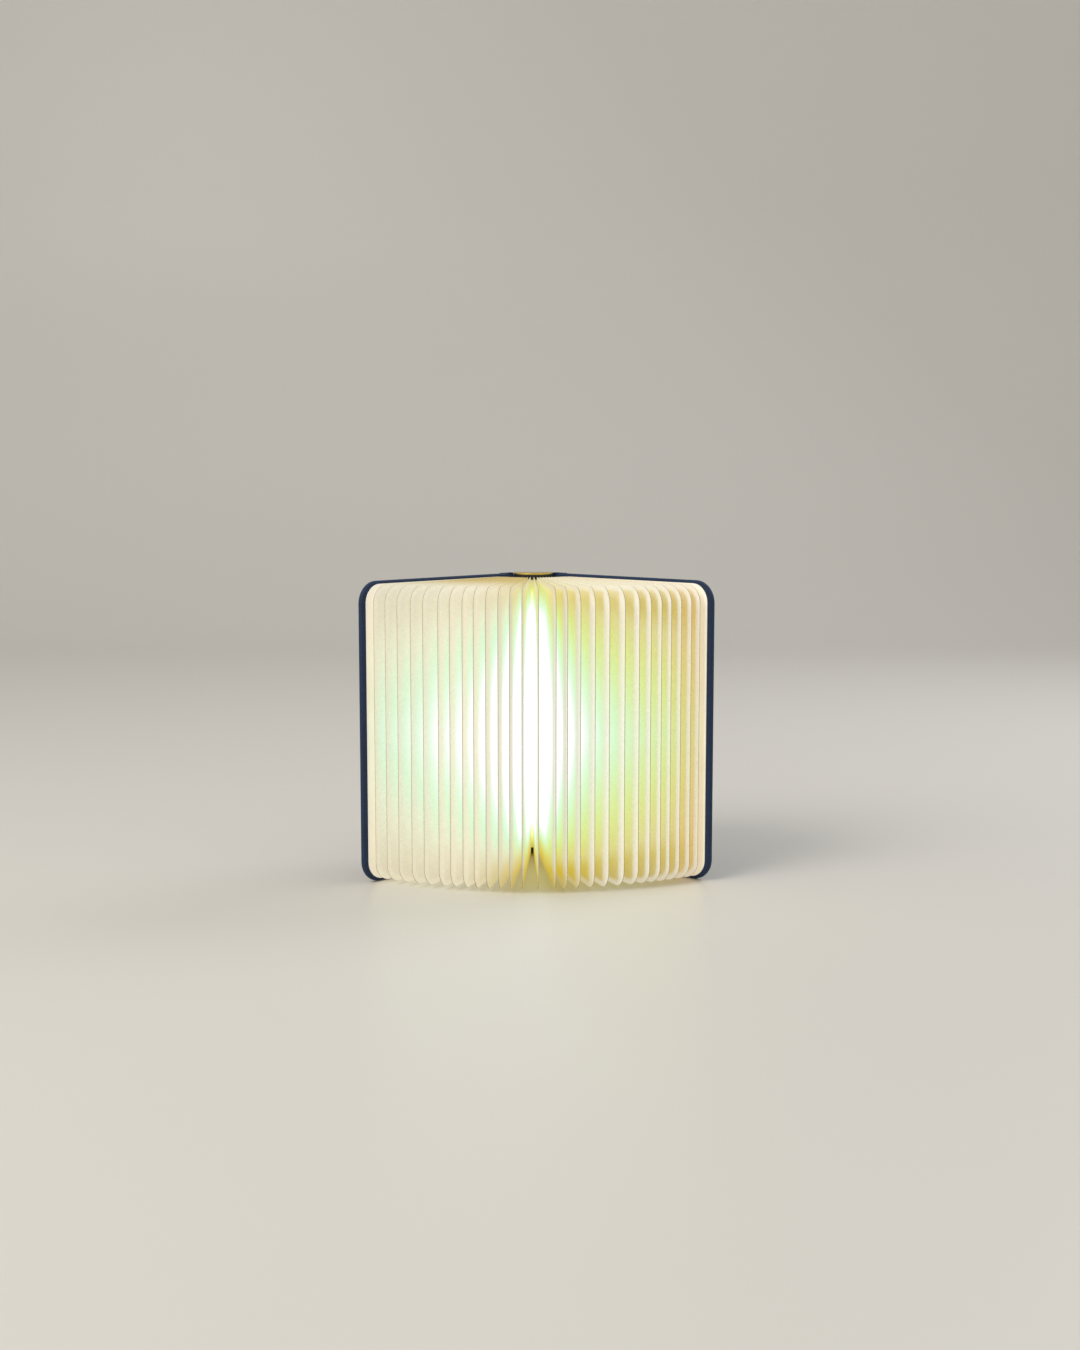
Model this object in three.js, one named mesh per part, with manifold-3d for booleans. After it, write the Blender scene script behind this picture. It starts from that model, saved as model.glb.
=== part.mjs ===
// Folding book lamp: a small hard-cover book that stands on edge, with a lit spine and a fan of paper pages.
// The origin is on the table, midway between the two cover hinges. The pages open towards -Y and +Z is up.
// All lengths are in millimetres.
import * as THREE from 'three';
import { mergeVertices } from 'three/addons/utils/BufferGeometryUtils.js';
import Module from 'manifold-3d';

const wasm = await Module();
wasm.setup();

// Covers
const coverHeight = 122;
const coverReach = 88;
const coverStart = 1.3;
const coverCornerRadius = 9;
const boardThickness = 1.6;
const clothThickness = 0.3;
const glueGap = 0.1;
const turnInWidth = 14;
const restAngle = THREE.MathUtils.degToRad(43.5);

// End leaves and pages
const endLeafThickness = 0.3;
const pageCount = 27;
const pageThickness = 0.5;
const pageForeGap = 2;
const pageHeadGap = 1.2;
const pageCornerRadius = 7.5;
const pageStackInset = 1.5;
const pageSpineGap = 0.6;
const leafStart = 9;
// How far each page turns as a share of its cover's turn, from the innermost page out to the cover.
const leftTurnShares = [
  0.09, 0.155, 0.215, 0.28, 0.345, 0.405, 0.475, 0.54, 0.63, 0.705, 0.79, 0.87, 0.95];
const rightTurnShares = [
  0.095, 0.155, 0.225, 0.305, 0.385, 0.475, 0.56, 0.63, 0.695, 0.755, 0.82, 0.89, 0.95];

// Closing magnets in the covers, and the small magnet that the switch senses
const magnetRadius = 4;
const magnetThickness = 1.2;
const magnetForeInset = 8;
const magnetEndInset = 16;
const switchMagnetRadius = 2;
const switchMagnetReach = 5.2;
const pocketGap = 0.1;

// Spine housing, diffuser and end plates
const archCentre = -3.4;
const plateOverhang = 0.7;
const plateThickness = 1.6;
const plateBackCorner = 0.8;
const topPlateRise = 0.4;
const housingHalfWidth = 7.6;
const housingBack = 1.5;
const housingWall = 1.2;
const diffuserWall = 1;
const seatGap = 0.1;
const lipHeight = 1.5;
const lipWall = 0.8;
const lipGap = 0.2;
const hingeBeadRadius = 0.9;
const hingeNeckThickness = 0.3;
const hingeNeckReach = 1.8;

// Screws under the bottom plate and their bosses in the back corners of the housing
const bossInset = 0.4;
const screwWallGap = 0.1;
const screwRadius = 0.7;
const screwLength = 5;
const screwHeadRadius = 1.3;
const screwHeadHeight = 0.7;
const screwSlotWidth = 0.4;
const bossRadius = 1.3;
const bossHeight = 7;
const screwGap = 0.1;

// Electronics
const cellSideGap = 0.6;
const cellThickness = 4.6;
const cellLength = 62;
const cellCornerRadius = 1.6;
const cellBottom = 27;
const cellWallGap = 0.3;
const leadRadius = 0.4;
const leadSpread = 2.2;
const ledBoardSideGap = 0.8;
const ledBoardThickness = 1;
const ledBoardGap = 0.5;
const ledBoardEndGap = 4;
const ledCount = 12;
const ledWidth = 2.8;
const ledHeight = 3.5;
const ledThickness = 0.7;
const solderGap = 0.05;
const chargeBoardSideGap = 0.2;
const chargeBoardThickness = 1;
const chargeBoardWallGap = 0.4;
const chargeBoardBottom = 2;
const chargeBoardTop = 25;
const socketWidth = 8.94;
const socketThickness = 3.26;
const socketLength = 7.3;
const socketWall = 0.3;
const socketRecess = 0.5;
const socketSlotGap = 0.18;
const tongueWidth = 6.6;
const tongueThickness = 0.7;
const tongueLength = 5.6;
const connectorWidth = 5;
const connectorHeight = 3;
const connectorBottom = 12.5;
const sensorWidth = 4;
const sensorHeight = 3;
const sensorThickness = 1.5;
const sensorBottom = 17.5;
const pipeRadius = 0.75;
const pipeLength = 3.2;
const pipeFrontInset = 1.7;
const pipeGap = 0.15;

// Rounding of the curves: straight sides in a quarter turn and in a whole post, and steps along a lead
const quarterSides = 8;
const roundSides = 24;
const leadSteps = 10;
const cutOverrun = 2;

// Sizes that follow
const coverHalfThickness = boardThickness / 2 + glueGap + clothThickness;
const pageReach = coverReach - pageForeGap;
const magnetReach = coverReach - magnetForeInset;
const pageLow = pageHeadGap;
const pageHigh = coverHeight - pageHeadGap;
const spineLow = plateThickness + seatGap;
const spineTop = coverHeight + topPlateRise;
const spineHigh = spineTop - plateThickness - seatGap;
const diffuserOuter = housingHalfWidth;
const diffuserInner = diffuserOuter - diffuserWall;
const housingInnerBack = housingBack - housingWall;
const housingInnerHalf = housingHalfWidth - housingWall;
const spineClothInnerHalf = housingHalfWidth + glueGap;
const spineClothHalf = spineClothInnerHalf + clothThickness;
const spineClothInnerBack = housingBack + glueGap;
const spineClothBack = spineClothInnerBack + clothThickness;
const hingeHalfSpan = spineClothHalf + hingeNeckReach;
const pageStackHalf = hingeHalfSpan - pageStackInset;
const plateHalfWidth = housingHalfWidth + plateOverhang;
const plateBack = spineClothBack;
const screwSpread = housingInnerHalf - bossInset;
const screwLine = housingInnerBack - screwWallGap;
const cellHalfWidth = housingInnerHalf - cellSideGap;
const cellBack = housingInnerBack - cellWallGap;
const cellFront = cellBack - cellThickness;
const pipeLine = archCentre - diffuserInner + pipeFrontInset;
const ledBoardHalfWidth = housingInnerHalf - ledBoardSideGap;
const ledBoardBack = cellFront - ledBoardGap;
const ledBoardFront = ledBoardBack - ledBoardThickness;
const chargeBoardHalfWidth = screwSpread - bossRadius - chargeBoardSideGap;
const chargeBoardBack = housingInnerBack - chargeBoardWallGap;
const chargeBoardFront = chargeBoardBack - chargeBoardThickness;
const socketBack = chargeBoardFront - solderGap;
const socketCentre = socketBack - socketThickness / 2;
const magnetHeights = { lower: magnetEndInset, upper: coverHeight - magnetEndInset };
const switchMagnetHeight = sensorBottom + sensorHeight / 2;

// Finishes
function finish(color, roughness, metalness = 0) {
  return { color, roughness, metalness };
}
const linenCloth = finish('#1b3556', 0.85);
const greyboard = finish('#8d8578', 0.9);
const endPaper = finish('#f4f1e6', 0.8);
const pagePaper = finish('#f0e7c4', 0.7);
const brass = finish('#c9a94f', 0.28, 1);
const housingPlastic = finish('#e9e7e0', 0.55);
const diffuserPlastic = finish('#fbf6e6', 0.45);
const magnetNickel = finish('#b9bcc0', 0.25, 1);
const cellFoil = finish('#b5b8bc', 0.4, 0.6);
const boardResin = finish('#1f5a3a', 0.5);
const whiteBoardResin = finish('#f1f1ee', 0.5);
const socketSteel = finish('#c3c6c9', 0.3, 1);
const blackPlastic = finish('#161616', 0.5);
const screwSteel = finish('#c9cccf', 0.3, 1);
const clearPlastic = finish('#dfe9ee', 0.15);
const redInsulation = finish('#b3261e', 0.5);
const blackInsulation = finish('#1a1a1a', 0.5);

function piece(name, geometry, look) {
  const mesh = new THREE.Mesh(geometry, new THREE.MeshStandardMaterial(look));
  mesh.name = name;
  return mesh;
}

// Solids: joining and cutting closed meshes

function toSolid(geometry) {
  const bare = geometry.clone();
  bare.deleteAttribute('normal');
  bare.deleteAttribute('uv');
  const merged = mergeVertices(bare);
  const vertProperties = new Float32Array(merged.attributes.position.array);
  const triVerts = new Uint32Array(merged.index.array);
  return new wasm.Manifold(new wasm.Mesh({ numProp: 3, vertProperties, triVerts }));
}

function toGeometry(solid) {
  const mesh = solid.getMesh();
  const geometry = new THREE.BufferGeometry();
  geometry.setAttribute('position', new THREE.BufferAttribute(mesh.vertProperties, 3));
  geometry.setIndex(new THREE.BufferAttribute(mesh.triVerts, 1));
  geometry.computeVertexNormals();
  return geometry;
}

function cut(body, ...tools) {
  return toGeometry(tools.reduce((solid, tool) => solid.subtract(toSolid(tool)), toSolid(body)));
}

function join(body, ...others) {
  return toGeometry(others.reduce((solid, other) => solid.add(toSolid(other)), toSolid(body)));
}

// Shapes

function extrude(shape, depth) {
  return new THREE.ExtrudeGeometry(shape, { depth, bevelEnabled: false });
}

// A solid that stands on its plan, from one height to another.
function upright(shape, low, high) {
  return extrude(shape, high - low).translate(0, 0, low);
}

// A panel in a cover's or page's own frame: X runs out from the hinge and Z up, and its thickness lies
// between two distances on the outer side of the hinge.
function panel(shape, side, inner, outer) {
  const geometry = extrude(shape, outer - inner).rotateX(Math.PI / 2);
  return geometry.translate(0, side > 0 ? outer : -inner, 0);
}

function box(left, right, front, back, low, high) {
  const geometry = new THREE.BoxGeometry(right - left, back - front, high - low);
  return geometry.translate((left + right) / 2, (front + back) / 2, (low + high) / 2);
}

function post(radius, low, high, x, y) {
  const geometry = new THREE.CylinderGeometry(radius, radius, high - low, roundSides).rotateX(Math.PI / 2);
  return geometry.translate(x, y, (low + high) / 2);
}

function point(x, y) {
  return new THREE.Vector2(x, y);
}

// The points of a round stretch, both ends included, with so many straight sides in each quarter turn.
function arc(x, y, radius, from, to) {
  const sides = Math.ceil(quarterSides * Math.abs(to - from) / (Math.PI / 2));
  const points = [];
  for (let i = 0; i <= sides; i += 1) {
    const angle = from + (to - from) * i / sides;
    points.push(point(x + radius * Math.cos(angle), y + radius * Math.sin(angle)));
  }
  return points;
}

// The outline of a cover, board, end leaf or page: square at the hinge, with two round fore-edge corners.
function leafShape(start, reach, low, high, radius) {
  return new THREE.Shape([
    point(start, high),
    point(start, low),
    ...arc(reach - radius, low + radius, radius, -Math.PI / 2, 0),
    ...arc(reach - radius, high - radius, radius, 0, Math.PI / 2),
  ]);
}

function roundHole(x, y, radius) {
  return new THREE.Path(arc(x, y, radius, 2 * Math.PI, 0).slice(1));
}

// The plan of an end plate: a half-round front and a square back with small round corners.
function archShape(halfWidth, centre, back, corner) {
  return new THREE.Shape([
    ...arc(halfWidth - corner, back - corner, corner, 0, Math.PI / 2),
    ...arc(corner - halfWidth, back - corner, corner, Math.PI / 2, Math.PI),
    ...arc(0, centre, halfWidth, Math.PI, 2 * Math.PI),
  ]);
}

// The plan of the diffuser and of the lip that it seats on: a half ring.
function halfRingShape(outer, inner, centre) {
  return new THREE.Shape([
    ...arc(0, centre, outer, Math.PI, 2 * Math.PI),
    ...arc(0, centre, inner, 2 * Math.PI, Math.PI),
  ]);
}

// A rectangle with round corners, drawn about its middle.
function roundRectShape(width, height, radius, x, y) {
  const right = x + width / 2 - radius;
  const left = x - width / 2 + radius;
  const top = y + height / 2 - radius;
  const bottom = y - height / 2 + radius;
  return new THREE.Shape([
    ...arc(right, top, radius, 0, Math.PI / 2),
    ...arc(left, top, radius, Math.PI / 2, Math.PI),
    ...arc(left, bottom, radius, Math.PI, 1.5 * Math.PI),
    ...arc(right, bottom, radius, 1.5 * Math.PI, 2 * Math.PI),
  ]);
}

// Covers: a board in a tray of cloth, its magnets, and the end leaf pasted over the turned-in cloth

function coverBoard(side) {
  const inset = clothThickness + glueGap;
  const shape = leafShape(coverStart + inset, coverReach - inset, inset, coverHeight - inset,
    coverCornerRadius - inset);
  const pocket = magnetRadius + pocketGap;
  shape.holes.push(roundHole(magnetReach, magnetHeights.lower, pocket));
  shape.holes.push(roundHole(magnetReach, magnetHeights.upper, pocket));
  if (side > 0) {
    shape.holes.push(roundHole(switchMagnetReach, switchMagnetHeight, switchMagnetRadius + pocketGap));
  }
  return panel(shape, side, -boardThickness / 2, boardThickness / 2);
}

function coverCloth(side) {
  const wrap = leafShape(coverStart, coverReach, 0, coverHeight, coverCornerRadius);
  const fold = clothThickness;
  const hollow = leafShape(coverStart + fold, coverReach - fold, fold, coverHeight - fold,
    coverCornerRadius - fold);
  const window = leafShape(coverStart + turnInWidth, coverReach - turnInWidth, turnInWidth,
    coverHeight - turnInWidth, coverCornerRadius / 2);
  const hollowHalf = coverHalfThickness - clothThickness;
  return cut(panel(wrap, side, -coverHalfThickness, coverHalfThickness),
    panel(hollow, side, -hollowHalf, hollowHalf),
    panel(window, side, -coverHalfThickness - cutOverrun, 0));
}

function endLeaf(side) {
  const shape = leafShape(leafStart, pageReach, pageLow, pageHigh, pageCornerRadius);
  const outer = -coverHalfThickness - glueGap;
  return panel(shape, side, outer - endLeafThickness, outer);
}

function coverMagnet(radius, reach, height) {
  const disc = new THREE.CylinderGeometry(radius, radius, magnetThickness, roundSides);
  return disc.translate(reach, 0, height);
}

// A cover's frame lies on its hinge: X runs to the fore-edge and the outer face is away from the pages.
function cover(side) {
  const name = side > 0 ? 'right' : 'left';
  const group = new THREE.Group();
  group.position.x = side * hingeHalfSpan;
  group.rotation.z = side * restAngle - Math.PI / 2;
  group.add(piece(`${name}_cover_board`, coverBoard(side), greyboard));
  group.add(piece(`${name}_cover_cloth`, coverCloth(side), linenCloth));
  group.add(piece(`${name}_end_leaf`, endLeaf(side), endPaper));
  for (const [place, height] of Object.entries(magnetHeights)) {
    const magnet = coverMagnet(magnetRadius, magnetReach, height);
    group.add(piece(`${name}_${place}_magnet`, magnet, magnetNickel));
  }
  if (side > 0) {
    const magnet = coverMagnet(switchMagnetRadius, switchMagnetReach, switchMagnetHeight);
    group.add(piece('switch_magnet', magnet, magnetNickel));
  }
  return group;
}

// Pages: each one turns on its own line between the cover hinges. Shut, they stack side by side between the
// covers, and their inner edges follow the round front of the spine.

function page(index) {
  const middle = (pageCount - 1) / 2;
  const step = index - middle;
  const stackShare = step / (middle + 1);
  const turnShares = step < 0 ? leftTurnShares : rightTurnShares;
  const turnShare = step === 0 ? 0 : Math.sign(step) * turnShares[Math.abs(step) - 1];
  const archDepth = plateHalfWidth * Math.sqrt(1 - stackShare ** 2);
  const start = Math.max(leafStart, pageSpineGap - archCentre + archDepth);
  const shape = leafShape(start, pageReach, pageLow, pageHigh, pageCornerRadius);
  const leaf = panel(shape, 1, -pageThickness / 2, pageThickness / 2);
  leaf.translate(0, -pageStackInset * stackShare, 0);
  const mesh = piece(`page_${String(index + 1).padStart(2, '0')}`, leaf, pagePaper);
  mesh.position.x = hingeHalfSpan * stackShare;
  mesh.rotation.z = turnShare * restAngle - Math.PI / 2;
  return mesh;
}

// Spine: housing, diffuser, cloth and end plates

function spineHousing() {
  const wallFront = archCentre + seatGap;
  const shape = new THREE.Shape([
    point(housingHalfWidth, wallFront),
    point(housingHalfWidth, housingBack),
    point(-housingHalfWidth, housingBack),
    point(-housingHalfWidth, wallFront),
    point(-housingInnerHalf, wallFront),
    point(-housingInnerHalf, housingInnerBack),
    point(housingInnerHalf, housingInnerBack),
    point(housingInnerHalf, wallFront),
  ]);
  const bossTop = spineLow + bossHeight;
  const boreTop = bossTop - housingWall;
  const bosses = [-screwSpread, screwSpread].map((x) => post(bossRadius, spineLow, bossTop, x, screwLine));
  const bores = [-screwSpread, screwSpread].map(
    (x) => post(screwRadius + screwGap, spineLow - cutOverrun, boreTop, x, screwLine));
  return cut(join(upright(shape, spineLow, spineHigh), ...bosses), ...bores);
}

function diffuser() {
  return upright(halfRingShape(diffuserOuter, diffuserInner, archCentre), spineLow, spineHigh);
}

// The cloth round the back of the spine, with a round bead on each hinge line that a cover turns on.
function spineCloth() {
  const neckHalf = hingeNeckThickness / 2;
  const neckAngle = Math.asin(neckHalf / hingeBeadRadius);
  const sideFront = -hingeBeadRadius / 2;
  const shape = new THREE.Shape([
    point(-spineClothInnerHalf, sideFront),
    point(-spineClothInnerHalf, spineClothInnerBack),
    point(spineClothInnerHalf, spineClothInnerBack),
    point(spineClothInnerHalf, sideFront),
    point(spineClothHalf, sideFront),
    point(spineClothHalf, -neckHalf),
    ...arc(hingeHalfSpan, 0, hingeBeadRadius, neckAngle - Math.PI, Math.PI - neckAngle),
    point(spineClothHalf, neckHalf),
    point(spineClothHalf, spineClothBack),
    point(-spineClothHalf, spineClothBack),
    point(-spineClothHalf, neckHalf),
    ...arc(-hingeHalfSpan, 0, hingeBeadRadius, neckAngle, 2 * Math.PI - neckAngle),
    point(-spineClothHalf, -neckHalf),
    point(-spineClothHalf, sideFront),
  ]);
  return upright(shape, spineLow, spineHigh);
}

function archLip(low, high) {
  const outer = diffuserInner - lipGap;
  return upright(halfRingShape(outer, outer - lipWall, archCentre), low, high);
}

function endPlate(low) {
  const shape = archShape(plateHalfWidth, archCentre, plateBack, plateBackCorner);
  return upright(shape, low, low + plateThickness);
}

function topEndPlate() {
  const low = spineTop - plateThickness;
  const lipLow = low - lipHeight;
  const lipHigh = low + plateThickness / 2;
  const half = housingInnerHalf - lipGap;
  const back = housingInnerBack - lipGap;
  const tongue = box(-half, half, back - lipWall, back, lipLow, lipHigh);
  return join(endPlate(low), archLip(lipLow, lipHigh), tongue);
}

function bottomEndPlate() {
  const lip = archLip(plateThickness / 2, plateThickness + lipHeight);
  const slotWidth = socketWidth + 2 * socketSlotGap;
  const slotHeight = socketThickness + 2 * socketSlotGap;
  const top = plateThickness + lipHeight + cutOverrun;
  const mouth = roundRectShape(slotWidth, slotHeight, slotHeight / 3, 0, socketCentre);
  const slot = upright(mouth, -cutOverrun, top);
  const pipeHole = post(pipeRadius + pipeGap, -cutOverrun, top, 0, pipeLine);
  const screwHoles = [-screwSpread, screwSpread].flatMap((x) => [
    post(screwRadius + screwGap, -cutOverrun, plateThickness + cutOverrun, x, screwLine),
    post(screwHeadRadius + screwGap, -cutOverrun, screwHeadHeight + screwGap, x, screwLine),
  ]);
  return cut(join(endPlate(0), lip), slot, pipeHole, ...screwHoles);
}

function endPlateScrew(x) {
  const shank = post(screwRadius, screwHeadHeight / 2, screwLength, x, screwLine);
  const head = post(screwHeadRadius, 0, screwHeadHeight, x, screwLine);
  const slotHalf = screwSlotWidth / 2;
  const slot = box(x - screwHeadRadius, x + screwHeadRadius, screwLine - slotHalf, screwLine + slotHalf,
    -cutOverrun, screwHeadHeight / 2);
  return cut(join(head, shank), slot);
}

// Electronics

function batteryCell() {
  const middle = (cellBack + cellFront) / 2;
  const shape = roundRectShape(2 * cellHalfWidth, cellThickness, cellCornerRadius, 0, middle);
  return upright(shape, cellBottom, cellBottom + cellLength);
}

// A short lead from the cell's lower end, down to a pad on the front of the charging board.
function batteryLead(x) {
  const padFront = chargeBoardFront - leadRadius - solderGap;
  const cellMiddle = (cellBack + cellFront) / 2;
  const route = new THREE.CatmullRomCurve3([
    new THREE.Vector3(x, cellMiddle, cellBottom - solderGap),
    new THREE.Vector3(x, cellMiddle, cellBottom - 2 * leadRadius),
    new THREE.Vector3(x, (cellMiddle + padFront) / 2, chargeBoardTop - 2 * leadRadius),
    new THREE.Vector3(x, padFront, chargeBoardTop - 4 * leadRadius),
    new THREE.Vector3(x, padFront, chargeBoardTop - 6 * leadRadius),
  ]);
  const section = new THREE.Shape(arc(0, 0, leadRadius, 0, 2 * Math.PI).slice(1));
  return new THREE.ExtrudeGeometry(section, { steps: leadSteps, extrudePath: route });
}

// The board that carries the row of LEDs on its front, evenly spaced, with half a space at each end.
function ledBoard() {
  const half = ledBoardHalfWidth;
  const board = box(-half, half, ledBoardFront, ledBoardBack, ledBoardEndGap, coverHeight - ledBoardEndGap);
  const pitch = (coverHeight - 2 * ledBoardEndGap) / ledCount;
  const back = (ledBoardFront + ledBoardBack) / 2;
  const leds = [];
  for (let i = 0; i < ledCount; i += 1) {
    const low = ledBoardEndGap + (i + 0.5) * pitch - ledHeight / 2;
    leds.push(box(-ledWidth / 2, ledWidth / 2, ledBoardFront - ledThickness, back, low, low + ledHeight));
  }
  return join(board, ...leds);
}

function chargeBoard() {
  const half = chargeBoardHalfWidth;
  return box(-half, half, chargeBoardFront, chargeBoardBack, chargeBoardBottom, chargeBoardTop);
}

function usbSocket() {
  const low = socketRecess;
  const high = socketRecess + socketLength;
  const outline = roundRectShape(socketWidth, socketThickness, socketThickness / 3, 0, socketCentre);
  const shell = upright(outline, low, high);
  const innerWidth = socketWidth - 2 * socketWall;
  const innerThickness = socketThickness - 2 * socketWall;
  const mouth = upright(roundRectShape(innerWidth, innerThickness, innerThickness / 3, 0, socketCentre),
    low - cutOverrun, high - socketWall);
  const tongueHalf = tongueThickness / 2;
  const tongue = box(-tongueWidth / 2, tongueWidth / 2, socketCentre - tongueHalf, socketCentre + tongueHalf,
    high - socketWall - tongueLength, high - socketWall / 2);
  return join(cut(shell, mouth), tongue);
}

function boardConnector() {
  const half = connectorWidth / 2;
  return box(-half, half, ledBoardBack + solderGap, chargeBoardFront - solderGap, connectorBottom,
    connectorBottom + connectorHeight);
}

function openingSensor() {
  const half = sensorWidth / 2;
  const back = chargeBoardFront - solderGap;
  return box(-half, half, back - sensorThickness, back, sensorBottom, sensorBottom + sensorHeight);
}

function chargeLightPipe() {
  return post(pipeRadius, pipeGap, pipeGap + pipeLength, 0, pipeLine);
}

function spine() {
  const group = new THREE.Group();
  group.add(piece('spine_housing', spineHousing(), housingPlastic));
  group.add(piece('diffuser', diffuser(), diffuserPlastic));
  group.add(piece('spine_cloth', spineCloth(), linenCloth));
  group.add(piece('top_end_plate', topEndPlate(), brass));
  group.add(piece('bottom_end_plate', bottomEndPlate(), brass));
  group.add(piece('left_plate_screw', endPlateScrew(-screwSpread), screwSteel));
  group.add(piece('right_plate_screw', endPlateScrew(screwSpread), screwSteel));
  group.add(piece('battery_cell', batteryCell(), cellFoil));
  group.add(piece('battery_lead_red', batteryLead(leadSpread), redInsulation));
  group.add(piece('battery_lead_black', batteryLead(-leadSpread), blackInsulation));
  group.add(piece('led_board', ledBoard(), whiteBoardResin));
  group.add(piece('charge_board', chargeBoard(), boardResin));
  group.add(piece('usb_socket', usbSocket(), socketSteel));
  group.add(piece('board_connector', boardConnector(), blackPlastic));
  group.add(piece('opening_sensor', openingSensor(), blackPlastic));
  group.add(piece('charge_light_pipe', chargeLightPipe(), clearPlastic));
  return group;
}

const group = new THREE.Group();
group.add(spine());
group.add(cover(-1));
group.add(cover(1));
for (let index = 0; index < pageCount; index += 1) {
  group.add(page(index));
}

export default group;
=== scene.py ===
# %% [markdown]
# # A folding book lamp in Blender
# The lamp is a small hard-cover book that stands on edge, half open. Its pages are paper pockets that fan
# out from a lit spine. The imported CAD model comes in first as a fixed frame, and each piece made here takes
# its place and size from it. The cells go from the frame and the camera to the finishes, the pages, the
# covers, the spine and the light.

import math

import bmesh
import bpy
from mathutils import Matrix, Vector


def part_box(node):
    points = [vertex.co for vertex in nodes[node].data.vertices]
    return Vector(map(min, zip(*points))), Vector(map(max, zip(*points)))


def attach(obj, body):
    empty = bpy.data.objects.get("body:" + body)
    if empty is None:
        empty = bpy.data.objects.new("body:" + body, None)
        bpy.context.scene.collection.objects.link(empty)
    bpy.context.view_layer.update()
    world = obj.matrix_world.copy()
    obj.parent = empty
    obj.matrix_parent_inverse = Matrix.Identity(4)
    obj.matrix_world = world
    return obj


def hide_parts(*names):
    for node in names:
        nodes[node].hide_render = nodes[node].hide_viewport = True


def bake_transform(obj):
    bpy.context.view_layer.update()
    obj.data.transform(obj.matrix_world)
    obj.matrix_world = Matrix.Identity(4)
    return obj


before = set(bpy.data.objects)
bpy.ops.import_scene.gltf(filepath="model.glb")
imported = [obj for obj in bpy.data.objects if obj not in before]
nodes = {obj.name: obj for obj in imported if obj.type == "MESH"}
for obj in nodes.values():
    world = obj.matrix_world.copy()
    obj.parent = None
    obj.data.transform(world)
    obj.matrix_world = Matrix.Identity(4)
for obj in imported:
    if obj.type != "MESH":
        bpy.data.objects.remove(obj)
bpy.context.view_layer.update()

# %% [markdown]
# Blender works in metres, and a bookbinder in millimetres, so the sizes are written in millimetres and
# turned once. They repeat the main sizes of the CAD source. What can be measured on the frame is measured,
# so that a mistake in a repeated size shows up in the print.

# %% Sizes
MM = 0.001
COVER_REACH = 88 * MM
COVER_HEIGHT = 122 * MM
COVER_START = 1.3 * MM
COVER_CORNER = 9 * MM
COVER_HALF = 1.2 * MM
CLOTH = 0.3 * MM
TURN_IN = 14 * MM
HINGE_X = 9.8 * MM
OPEN_ANGLE = math.radians(43.5)
MIDDLE = COVER_HEIGHT / 2

LEAF_START = 9 * MM
LEAF_REACH = 86 * MM
LEAF_LOW = 1.2 * MM
LEAF_HIGH = 120.8 * MM
LEAF_CORNER = 7.5 * MM
LEAF_THICKNESS = 0.5 * MM
LEAF_INSET = 1.5 * MM
SPINE_GAP = 0.6 * MM
PLATE_HALF = 8.3 * MM
ARCH_CENTRE = -3.4 * MM

spine_low, spine_high = (corner[2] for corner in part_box("spine_cloth"))
cover_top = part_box("left_cover_cloth")[1][2]
print("cover height by the frame", round(cover_top / MM, 2), "and here", COVER_HEIGHT / MM)

# %% [markdown]
# The camera comes before the pieces, so that each can be looked at as soon as it is made. The photograph
# was taken from a little above the lamp and about 77 cm away, with a normal lens. Its distance, height and
# slight turn were worked out from the sizes of the near and far edges of the covers.

# %% Camera
CAMERA_PLACE = (-0.0188, -0.7655, 0.1627)
CAMERA_DROP = math.radians(6.35)
CAMERA_TURN = math.radians(-1.63)


def put_in_scene(name, data):
    """A new object with this mesh, camera or lamp in it."""
    thing = bpy.data.objects.new(name, data)
    bpy.context.scene.collection.objects.link(thing)
    return thing


camera_data = bpy.data.cameras.new("camera")
camera_data.sensor_width = 36
camera_data.lens = 47.14
camera = put_in_scene("camera", camera_data)
camera.location = CAMERA_PLACE
camera.rotation_euler = (math.pi / 2 - CAMERA_DROP, 0, CAMERA_TURN)
bpy.context.scene.camera = camera
print("camera is", round(math.hypot(*CAMERA_PLACE[:2]), 3), "m from the spine")

# %% [markdown]
# Colours are written as the sRGB hex values that one would pick from a swatch, and Blender's shaders want
# them as linear light, so one function turns them. Another adds a node to any tree: its options are given
# by name, and its inputs as a table in which a socket is linked and anything else is set.


# %% Helpers for colours and nodes
def to_linear(swatch):
    channels = [int(swatch[i:i + 2], 16) / 255 for i in (1, 3, 5)]
    return (*(c / 12.92 if c <= 0.04045 else ((c + 0.055) / 1.055) ** 2.4 for c in channels), 1.0)


def set_inputs(tree, node, inputs):
    for key, value in inputs.items():
        if isinstance(value, bpy.types.NodeSocket):
            tree.links.new(value, node.inputs[key])
        else:
            node.inputs[key].default_value = value


def add_node(tree, kind, inputs=None, **options):
    node = tree.nodes.new(kind)
    for name, value in options.items():
        setattr(node, name, value)
    set_inputs(tree, node, inputs or {})
    return node


def new_material(name):
    """A material with only its Principled shader and its output, both ready for links."""
    material = bpy.data.materials.new(name)
    material.use_nodes = True
    tree = material.node_tree
    tree.nodes.clear()
    shader = add_node(tree, "ShaderNodeBsdfPrincipled")
    add_node(tree, "ShaderNodeOutputMaterial", {"Surface": shader.outputs["BSDF"]})
    return material, tree, shader


print("a mid grey of #808080 is", round(to_linear("#808080")[0], 3), "in linear light")

# %% [markdown]
# Most of a shader or a shape is arithmetic, which takes many small nodes. It reads better as a list of
# steps, so each step is a row: the name of its result, what it does, and what it works on. A part of a row
# is a number, a swatch, the stops of a colour ramp, or the name of an earlier result. LINEAR and SMOOTHSTEP
# turn one range into another, the second with soft ends, and with no range to turn into that is 0 to 1.
# TINT multiplies two colours and STRETCH scales a pattern's place. Whatever isn't in the table below is an
# operation of the Math node.

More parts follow.
